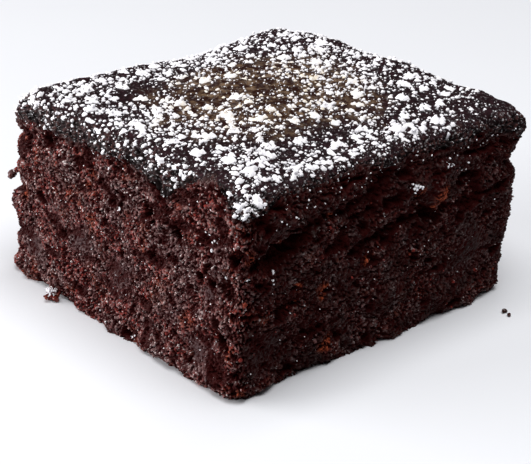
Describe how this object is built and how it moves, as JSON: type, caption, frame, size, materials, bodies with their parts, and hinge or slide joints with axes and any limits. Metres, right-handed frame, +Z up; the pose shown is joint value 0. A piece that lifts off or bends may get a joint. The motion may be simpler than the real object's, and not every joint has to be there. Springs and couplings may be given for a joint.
{
  "type": "chocolate cake square",
  "caption": "Square-cut piece of dark chocolate tray cake with a low domed baked top, torn crumbly cut sides and a dusting of icing sugar.",
  "frame": {"origin": "middle of the flat base, on the surface that the cake stands on", "axes": "+Z up through the sugared top; the -Y and +X faces are the two that meet at the front corner"},
  "size_m": [0.0721, 0.0722, 0.0395],
  "materials": {
    "chocolate_sponge": null,
    "baked_skin": "dark, slightly shiny baked skin with a golden brown moist middle",
    "icing_sugar": "white powder, clumped by sieving"
  },
  "bodies": {
    "root": {"cake": "chocolate_sponge"}
  },
  "joints": []
}
